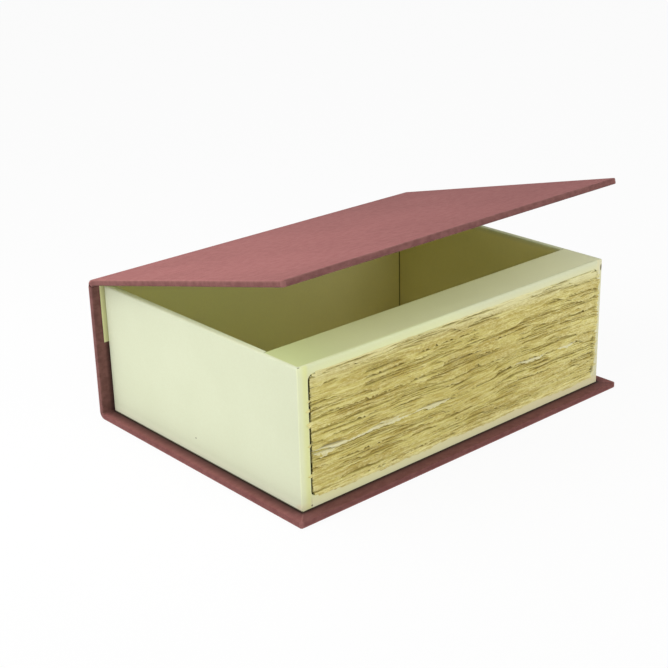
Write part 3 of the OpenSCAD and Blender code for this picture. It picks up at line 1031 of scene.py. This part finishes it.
top_x = np.linspace(-edge_x, edge_x, samples[0])
over_top = rounded_path([[0, rim_z - RIM_R], [0, rim_z], [CORNER_R, rim_z]], RIM_R, 6, 5.0)
under = rounded_path([[0, foot_z + FOOT_R], [0, foot_z], [0.7, foot_z]], 0.4, 6, 5.0)
strips = [stacked(top_x, front_y + path[:, :1], path[:, 1:]) for path in (over_top, under)]
towards_window = rise(np.arange(len(front)), 0, len(share))[:, None]
frame_fade_and_shade = [np.broadcast_to(0.85 - 0.28 * towards_window, front.shape[:2])]
frame_fade_and_shade += [np.full(grid.shape[:2], 0.85) for grid in strips]
make_piece(
    "frame_paper", [front, *strips], cream_paper, "root", thickness=PAPER_T, facing=(0, -1, 0.1),
    extras={"fade_and_shade_tone": frame_fade_and_shade},
)


# %% Paper on the ledge and the inner wall
wall_low, wall_high = node_box("ledge_paper")
ledge_path = rounded_path(
    [[front_y + CORNER_R, rim_z], [wall_high[1], rim_z], [wall_high[1], wall_low[2]]], 1.0, 6, 5.0
)
ledge_width = np.where(ledge_path[:, 1] > rim_z - 0.05, half_tray - CORNER_R, wall_high[0])
ledge = sheet_grid(ledge_path, ledge_width)
ledge_x = ledge[..., 0]
# Painted light on the ledge towards the head, and painted shade near the tail.
to_head, near_tail = 0.4 * rise(ledge_x, 0, 80), 0.50 * hill(ledge_x, -107, 27)
make_piece(
    "ledge_paper", [ledge], cream_paper, "root", thickness=PAPER_T, facing=(0, 1, 1),
    extras={
        "fade_and_shade_tone": [(0.7 + 0.15 * ledge_x / half_tray) * on_rim(ledge)],
        "ledge_light_and_shade": [(to_head - near_tail) * (ledge[..., 2] > rim_z - 1.3)],
    },
)


# %% [markdown]
# ## The leaves
# Each leaf is a sheet of hand-made paper with a torn, wavy front edge. Its section goes from the glued back
# over the top, down the front of its torn lip and back along the underside. That section is carried along
# the leaf while its lip wanders: where it comes forward it hangs over its neighbours, as a feathered edge
# does, and where it draws back they hang over it. All leaves share one slow wave. A few leaves bridge the
# gap at the tail, and three torn strands belong to the white leaf.

# %% The stack of leaves
lower_low, lower_high = node_box("lower_leaves")
white_low, white_high = node_box("white_leaf")
upper_high = node_box("upper_leaves")[1]
leaf_thick = white_high[2] - white_low[2]
leaf_pitch = leaf_thick + 0.15
white = int(round((white_low[2] - lower_low[2]) / leaf_pitch))
total = white + 1 + int(round((upper_high[2] - white_high[2]) / leaf_pitch))
leaf_back = white_high[1]
BRIDGES = {15, 31, 44, 51, 56}
STRANDS = [(-104.0, -86.0, 1.9), (-101.0, -91.0, 3.2), (-60.0, -42.0, -1.3)]
FIRST_STRAND = 500
LEAF_STEPS, HIDDEN_STEPS, STRAND_STEPS, LIP_ROOT = 390, 60, 160, 7.0
print("leaves:", total, "white leaf:", white, "pitch", leaf_pitch)


# %% The wave and the lip of a leaf
WAVE_X = [-106, -98, -80, -64, -43, -28, -9, 15, 44, 62, 75, 92, 108]
WAVE_Z = [0.5, 0.1, -0.8, -0.2, -0.7, -0.8, -2.0, -0.5, 1.9, 1.5, 1.9, 0.9, 0.3]


def stack_wave(x, z):
    """How far the leaves' front edges rise at a place.

    Near the white leaf it is one wave, eased from knot to knot, and elsewhere a slow random field. A quick
    one is added, and all of it fades towards the rails.
    """
    knot = np.clip(np.searchsorted(WAVE_X, x) - 1, 0, len(WAVE_X) - 2)
    start, end = np.take(WAVE_X, knot), np.take(WAVE_X, knot + 1)
    share = eased(rise(x, start, end - start))
    main = np.take(WAVE_Z, knot) * (1 - share) + np.take(WAVE_Z, knot + 1) * share
    here = hill(z, 32.0, 13.0)
    slow, quick = field(x, z, 52.0, 14.0, 21), field(x, z, 15.0, 5.0, 22)
    near_rail = rise(np.minimum(z - window_z0, window_z1 - z), -1.0, 9.0)
    return (main * here + 0.85 * slow * (1 - here) + 0.32 * quick) * near_rail


def forwardness(index, x):
    """How far a leaf's lip comes forward, from 0 to 1: a share of its own plus two random curves."""
    own = np.random.default_rng(2200 + index).uniform(-0.22, 0.22)
    lead = 0.5 * wander(x, 33.0, 2000 + index) + 0.28 * wander(x, 10.0, 2500 + index)
    return np.clip(0.5 + own + lead, 0, 1)


def leaf_lip(index, x, lead):
    """How far the lip stands back from the fore-edge and how far it hangs down.

    The recess is a power of what the lead lacks to 1, plus ragged waves. The drape is a power of what the
    lead has above a half, times waves of its own.
    """
    ragged = 0.28 * np.abs(wander(x, 0.9, 4000 + index)) + 0.20 * np.abs(wander(x, 2.6, 4500 + index))
    recess = 1.45 * np.maximum(1 - lead, 0) ** 1.2 + ragged + 0.25
    drape = 0.32 + 5.5 * np.clip(lead - 0.52, 0, 1) ** 1.45
    drape = drape * (1 + 0.30 * wander(x, 1.2, 6000 + index) + 0.22 * wander(x, 3.8, 6500 + index))
    return recess, drape


# %% The lip and the section of a leaf in the stack
def placed_lip(index, x, middle, lead, spot):
    """The wave, recess and drape of a leaf at its place in the stack.

    Where the leaves are felted together their lips lie flush. The top and bottom leaves lie on the rails,
    but for two gaps below the top one, and a leaf behind the board stays back.
    """
    wave = 0 * x if spot == "behind" else stack_wave(x, middle) + 0.10 * wander(x, 3.5, 1000 + index)
    recess, drape = leaf_lip(index, x, lead)
    if index != white and index < FIRST_STRAND:
        felted = np.clip(2.2 * field(x, middle, 19.0, 4.2, 31) - 0.15, 0, 1)
        flush = 0.55 + 0.18 * wander(x, 1.6, 5600 + index)
        recess = recess + (flush - recess) * felted
        drape = np.maximum(drape, 1.1 * leaf_pitch * felted)
    rail_lip = 0.5 + 0.5 * wander(x, 9.0, 5000 + index) + 0.35 * wander(x, 2.2, 5200 + index)
    if spot == "behind":
        recess, drape = 3.6 + 0 * x, 0.3 + 0 * x
    if spot == "top":
        top_gap = hill(x, -25.0, 7.0) + hill(x, 88.0, 17.0)
        on_rail = np.clip(1 - 2 * top_gap, 0, 1)
        wave = wave - 1.3 * top_gap + 0.45 * (rail_lip - 0.4) * on_rail
        recess = recess * np.clip(2 * top_gap, 0, 1) - 0.25 * on_rail
    if spot == "bottom":
        recess, drape = 0.3 * recess - 0.3, 0.7 + 1.3 * np.clip(rail_lip, 0, 2)
    return wave, recess, drape


def leaf_section(index, x, middle, wave, tip_y, drape):
    """The (y, z) of each point of a leaf's section, from its glued back over its lip and back again."""
    half, body = leaf_thick / 2, middle + wave
    fat = leaf_thick * (0.95 + 0.2 * wander(x, 6.0, 7000 + index))
    flare = 0.45 * rise(wander(x, 5.0, 7500 + index), 0.35, 0.65)
    return [
        (leaf_back, middle + half),
        (front_y + LIP_ROOT, middle + 0.4 * wave + half),
        (tip_y + 1.6, body + fat * 0.5),
        (tip_y + 0.45, body + fat * 0.45),
        (tip_y + 0.10, body + fat * 0.22),
        (tip_y, body - 0.25 * drape),
        (tip_y + 0.04 - 0.5 * flare, body - 0.75 * drape),
        (tip_y + 0.20 - flare, body - (1 - 0.2 * flare) * drape),
        (tip_y + 0.42, body - 0.8 * drape),
        (tip_y + 1.1, body - fat * 0.5),
        (front_y + LIP_ROOT, middle + 0.4 * wave - half),
        (leaf_back, middle - half),
    ]


# %% A whole leaf
LIP = np.array([0, 0, 0.1, 0.3, 0.6, 0.5, 0.7, 1, 0.8, 0.1, 0, 0])


def lightness(index, x, z):
    """How light a leaf is: a sum for its lip, the top rail, the bottom rail and both of its ends, with painted
    light that grows towards the head.
    """
    under_rail = hill(z, window_z1, 3.0) * (1.4 + 0.6 * wander(x, 8.0, 9500 + index))[:, None]
    over_foot = 0.7 * hill(z, window_z0, 1.8)
    # Lighter at the tail end, and painted light growing towards the head.
    ends_and_head_light = 1 - rise(x, window_x0 + 0.6, 2.5) + 0.45 * rise(x, 10.0, 90.0)
    return LIP + np.maximum(under_rail, 0) + over_foot + 0.8 * ends_and_head_light[:, None]


def leaf_grid(index, x, low_z, lead, spot):
    """One leaf: rows are places along x, columns go round its section. Also its lip, tone and level."""
    middle = low_z + leaf_thick / 2
    wave, recess, drape = placed_lip(index, x, middle, lead, spot)
    inside = rise(x, window_x0 + 0.3, 0.9) * rise(window_x1 - x, 0.1, 0.9)
    end = rise(np.minimum(x - x[0], x[-1] - x), 0, 1.4)
    tip_y = front_y + recess * inside - 0.2 * (1 - inside)
    y, z = [stacked(*values) for values in zip(*leaf_section(index, x, middle, wave, tip_y, drape))]
    tip, body = tip_y[:, None], (middle + wave)[:, None]
    y = tip + (y - tip) * np.clip(inside, 0.03, 1)[:, None]
    z = body + (z - body) * (0.2 + 0.8 * np.maximum(inside, end))[:, None]
    over_rail = ((z > window_z1 - 0.1) | (z < window_z0 + 0.1)) & (spot in ("top", "bottom"))
    over_rail[:, :3] = over_rail[:, 10:] = False
    y = np.where(over_rail, np.minimum(y, front_y - 0.12 + 0.12 * (y - tip)), y)
    own = np.random.default_rng(8000 + index).uniform(0.2, 0.8)
    tone = own + 0.3 * wander(x, 16.0, 9000 + index)
    return stacked(x[:, None], y, z), {
        "lip": lightness(index, x, z),
        "tone": np.broadcast_to(tone[:, None], y.shape),
        "level": z - wave[:, None],
    }


def closed_leaf(values, shrunk=False):
    """Closes a leaf's section, and adds a row at both ends: the same again, or shrunk to its middle."""
    values = np.concatenate([values, values[:, :1]], 1)
    ends = values[[0, -1]]
    if shrunk:
        ends = np.broadcast_to(ends.mean(1, keepdims=True), ends.shape)
    return np.concatenate([ends[:1], values, ends[1:]])


# %% Where each leaf lies and comes forward
def white_lead(x):
    """How far the white leaf comes forward: five flat-topped hills, three of them on the tail half."""
    bumps = np.array([[-88, 6, 0.15], [-62, 42, 0.80], [-18, 9, 0.55], [56, 11, 0.80], [83, 8, 0.88]])
    return (bumps[:, 2] * hill(x[:, None], bumps[:, 0], bumps[:, 1], 4)).sum(1)


def leaf_lead(index, x):
    """How far a leaf comes forward. The neighbours of the white leaf draw back where it shows."""
    shown = white_lead(x)
    if index == white:
        return np.where(shown < 0.05, -0.5, shown)
    beside_white = index in (white - 3, white - 2, white - 1, white + 1)
    return forwardness(index, x) * (1 - 0.8 * np.clip(shown, 0, 1) * beside_white)


def leaf_span(index, room):
    """Where a leaf starts and ends along x, and which kind of place it has in the stack.

    Near the rails its ends are drawn in by as much as the window's round corner is at that height.
    """
    rng = np.random.default_rng(400 + index)
    spot = "behind" if room < -0.5 else "open"
    if -0.5 <= room < leaf_pitch - 0.5:
        spot = "top" if index > white else "bottom"
    reach = 0.0
    if -0.5 <= room < WINDOW_R:
        reach = WINDOW_R - np.sqrt(WINDOW_R**2 - (WINDOW_R - max(room, 0.0)) ** 2)
    x0 = lower_low[0] + reach + rng.uniform(0.1, 0.55)
    x1 = lower_high[0] - reach * 0.6 + rng.uniform(-0.2, 0.4)
    if index in BRIDGES:
        x0 = window_x0 - rng.uniform(0.9, 2.0)
    if spot == "open" and reach == 0.0 and rng.uniform() < 0.85:
        x1 = window_x1 + rng.uniform(0.6, 2.0)
    return x0, x1, spot


# %% The leaves as pieces
def white_strands(low_z):
    """Torn strands of the white leaf, each a short leaf of its own, a little lower or higher."""
    strands = []
    for number, (start, end, drop) in enumerate(STRANDS):
        x = np.linspace(start, end, STRAND_STEPS)
        lead = 0.9 * hill(x, (start + end) / 2, 0.42 * (end - start), 4)
        strands.append(leaf_grid(FIRST_STRAND + number, x, low_z - drop, lead, "open"))
    return strands


def leaf_set(name, first, last, finish, stands_for):
    """The leaves from first to last as one piece."""
    leaves = []
    for index in range(first, last):
        low_z = lower_low[2] + index * leaf_pitch
        x0, x1, spot = leaf_span(index, min(low_z - window_z0, window_z1 - low_z - leaf_thick))
        x = np.linspace(x0, x1, HIDDEN_STEPS if spot == "behind" else LEAF_STEPS)
        leaves.append(leaf_grid(index, x, low_z, leaf_lead(index, x), spot))
        leaves += white_strands(low_z) if index == white else []
    grids = [closed_leaf(loop, shrunk=True) for loop, own in leaves]
    extras = {key: [closed_leaf(own[key]) for loop, own in leaves] for key in ("lip", "tone", "level")}
    make_piece(name, grids, finish, "root", stands_for, extras=extras)


def leaf_block(name, first, last, size):
    """A block of leaves, in pieces of this size."""
    for number, start in enumerate(range(first, last, size)):
        leaf_set(f"{name}_{number + 1}", start, min(start + size, last), leaf_paper, [name])


leaf_block("lower_leaves", 0, white, 14)
leaf_set("white_leaf_edge", white, white + 1, white_paper, ["white_leaf"])
leaf_block("upper_leaves", white + 1, total, 15)


# %% [markdown]
# ## Boards and flat linings
# The greyboards and the flat linings are already right as CAD solids. They stay, and get their finishes.

# %% Finishes for the CAD nodes that stay
finish_of = {"greyboard": greyboard, "cream_paper": lining_paper}
own_finish = {"spine_liner": case_paper}
for part in frame["record"]["subparts"]:
    node = frame["nodes"][part["node"]]
    if part["material_slot"] in finish_of:
        node.data.materials.clear()
        node.data.materials.append(own_finish.get(part["node"], finish_of[part["material_slot"]]))
    elif not node.hide_render:
        print("still to dress:", node.name)


# %% [markdown]
# ## Light and floor
# The box stood in a white studio with soft light from above and from the left. The world gives most of the
# light, evenly. Two large soft lamps, at the left and in front, model the faces, and a small one brightens
# the lid's corner at the hinge and the tail. The camera sees plain white behind the box, and the floor
# keeps its shadow.

# %% World
WORLD_LEVEL, WHITE, FLOOR_PLAIN = 0.50, (1, 1, 1, 1), 0.93


def emptied(owner):
    """The first wire in the emptied node tree of a world or material."""
    owner.use_nodes = True
    owner.node_tree.nodes.clear()
    return Wire(owner.node_tree)


def feed_output(start, factor, light, plain, kind):
    """Feeds two shaders, mixed by a factor, to the output node of this kind."""
    mixed = start.node("ShaderNodeMixShader", {}, {0: factor, 1: light, 2: plain})
    output = start.tree.nodes.new(kind)
    start.tree.links.new(mixed.socket, output.inputs["Surface"])


world = bpy.data.worlds.new("studio")
bpy.context.scene.world = world
start = emptied(world)
light, backdrop = [
    start.node("ShaderNodeBackground", {}, {"Color": WHITE, "Strength": strength})
    for strength in (WORLD_LEVEL, 1.0)
]
feed_output(start, start.seen(), light, backdrop, "ShaderNodeOutputWorld")
print("world light", WORLD_LEVEL)


# %% Lamps and floor
LAMPS = [
    ("left", (-1.0, 0.10, 0.75), (0, 0, 0.05), 1.0, 6.3),
    ("near", (-0.16, 0.11, 0.34), (-0.10, 0.05, 0.08), 0.25, 0.60),
    ("front", (0.55, -1.35, 0.75), (0, 0, 0.05), 1.2, 9.8),
]
for name, place, aim, size, watts in LAMPS:
    lamp = bpy.data.lights.new(name, "AREA")
    lamp.shape, lamp.size, lamp.energy = "SQUARE", size, watts
    away = np.array(place) - aim
    put(name, lamp).matrix_world = looking(place, away / np.linalg.norm(away))
    print("lamp", name, "of", watts, "W at", place)

floor_mesh = bpy.data.meshes.new("floor")
floor_mesh.from_pydata([(-4, -4, 0), (4, -4, 0), (4, 4, 0), (-4, 4, 0)], [], [(0, 1, 2, 3)])
floor = put("floor", floor_mesh)
floor_white = bpy.data.materials.new("floor")
start = emptied(floor_white)
matt = start.node("ShaderNodeBsdfDiffuse", {}, {"Color": (0.8, 0.8, 0.8, 1)})
plain = start.node("ShaderNodeEmission", {}, {"Color": WHITE, "Strength": 1.0})
feed_output(start, start.seen() * FLOOR_PLAIN, matt, plain, "ShaderNodeOutputMaterial")
floor_mesh.materials.append(floor_white)
